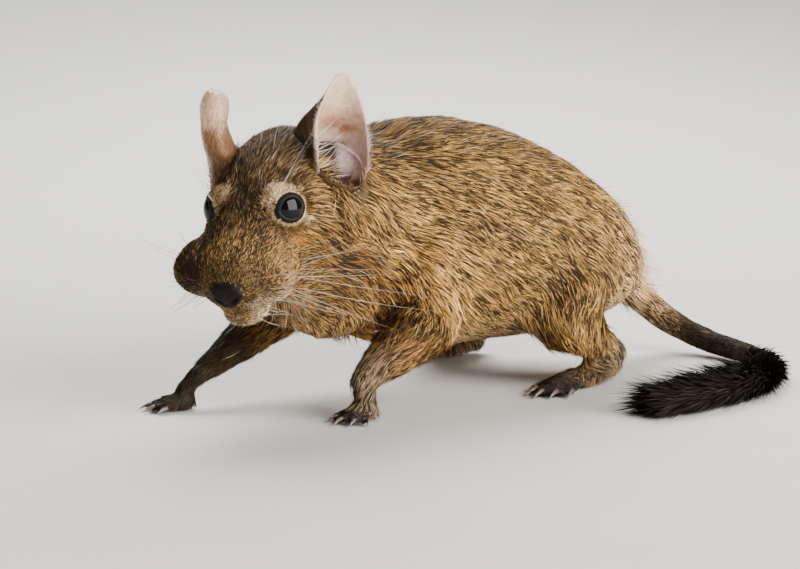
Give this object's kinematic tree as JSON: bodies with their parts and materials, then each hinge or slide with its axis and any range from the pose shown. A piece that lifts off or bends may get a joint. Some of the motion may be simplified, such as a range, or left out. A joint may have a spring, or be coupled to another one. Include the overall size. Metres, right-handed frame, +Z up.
{
  "type": "degu",
  "caption": "Still life-size degu in a low crouch, head turned to its left, with cupped ears, toed feet and a tail that curls round to a brush.",
  "frame": {"origin": "under the middle of the whole part's box, on the plane that the feet stand on", "axes": "-X is the way the body faces, -Y is its left side and +Z is up"},
  "size_m": [0.1594, 0.1012, 0.0762],
  "materials": {
    "fur": "short agouti coat",
    "dark_fur": "coarse dark hair",
    "foot": "thin pale fur over skin",
    "ear_skin": "thin bare skin",
    "eye": "wet gloss"
  },
  "bodies": {
    "root": {"head": "fur", "neck": "fur", "chest": "fur", "belly": "fur", "rump": "fur", "upper_arm_left": "fur", "upper_arm_right": "fur", "forearm_left": "fur", "forearm_right": "fur", "thigh_left": "fur", "thigh_right": "fur", "shank_left": "fur", "shank_right": "fur", "tail_base": "fur", "tail_middle": "fur", "tail_brush": "dark_fur", "forefoot_left": "foot", "forefoot_right": "foot", "hindfoot_left": "foot", "hindfoot_right": "foot", "ear_left": "ear_skin", "ear_right": "ear_skin", "eye_left": "eye", "eye_right": "eye"}
  },
  "joints": []
}
